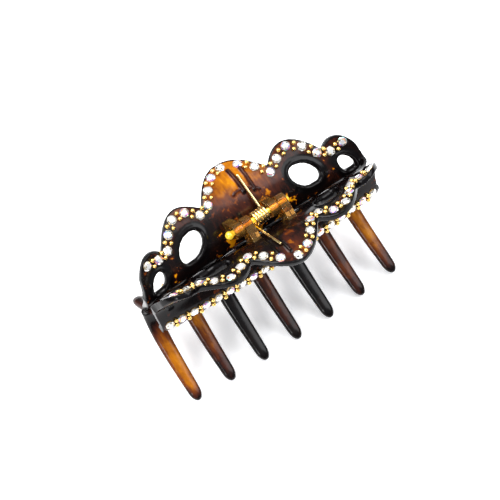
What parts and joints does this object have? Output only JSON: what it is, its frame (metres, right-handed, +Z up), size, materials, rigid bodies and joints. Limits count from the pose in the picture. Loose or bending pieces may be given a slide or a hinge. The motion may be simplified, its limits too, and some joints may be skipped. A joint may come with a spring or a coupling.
{
  "type": "hair claw clip",
  "caption": "Spring-closed hair claw with two scalloped tortoiseshell jaws, interleaving curved teeth and a crystal and bead trim.",
  "frame": {"origin": "middle of the base, on the plane the tooth tips stand on, straight below the middle of the hinge pin", "axes": "+X along the hinge, +Y from the front jaw to the back jaw, +Z up from the tooth tips to the wings"},
  "size_m": [0.0816, 0.0426, 0.041],
  "materials": {
    "tortoiseshell": "polished, dark brown with amber mottling",
    "gold_wire": "bright gold plate",
    "gold_spring": "bright gold plate",
    "gold_beads": "bright gold plate",
    "clear_crystal": "faceted, foil backed",
    "rainbow_crystal": "faceted, rainbow coated, foil backed"
  },
  "bodies": {
    "back_body": {"back_jaw": "tortoiseshell", "hinge_pin": "gold_wire", "torsion_spring": "gold_spring", "back_rim_clear_left": "clear_crystal", "back_rim_clear_middle": "clear_crystal", "back_rim_clear_right": "clear_crystal", "back_rim_rainbow_left": "rainbow_crystal", "back_rim_rainbow_middle": "rainbow_crystal", "back_rim_rainbow_right": "rainbow_crystal", "back_rim_beads_left": "gold_beads", "back_rim_beads_middle": "gold_beads", "back_rim_beads_right": "gold_beads", "back_band_clear": "clear_crystal", "back_band_rainbow": "rainbow_crystal", "back_band_beads": "gold_beads"},
    "front_body": {"front_jaw": "tortoiseshell", "front_rim_clear_left": "clear_crystal", "front_rim_clear_middle": "clear_crystal", "front_rim_clear_right": "clear_crystal", "front_rim_rainbow_left": "rainbow_crystal", "front_rim_rainbow_middle": "rainbow_crystal", "front_rim_rainbow_right": "rainbow_crystal", "front_rim_beads_left": "gold_beads", "front_rim_beads_middle": "gold_beads", "front_rim_beads_right": "gold_beads", "front_band_clear": "clear_crystal", "front_band_rainbow": "rainbow_crystal", "front_band_beads": "gold_beads"}
  },
  "joints": [
    {"name": "hinge", "type": "hinge", "parent": "back_body", "child": "front_body", "pos_m": [0, 0, 0.0371], "axis": [-1, 0, 0], "range_deg": [0, 78], "stiffness_Nm_per_rad": 0.03, "springref_deg": -28.65, "deforming": ["torsion_spring"]}
  ]
}
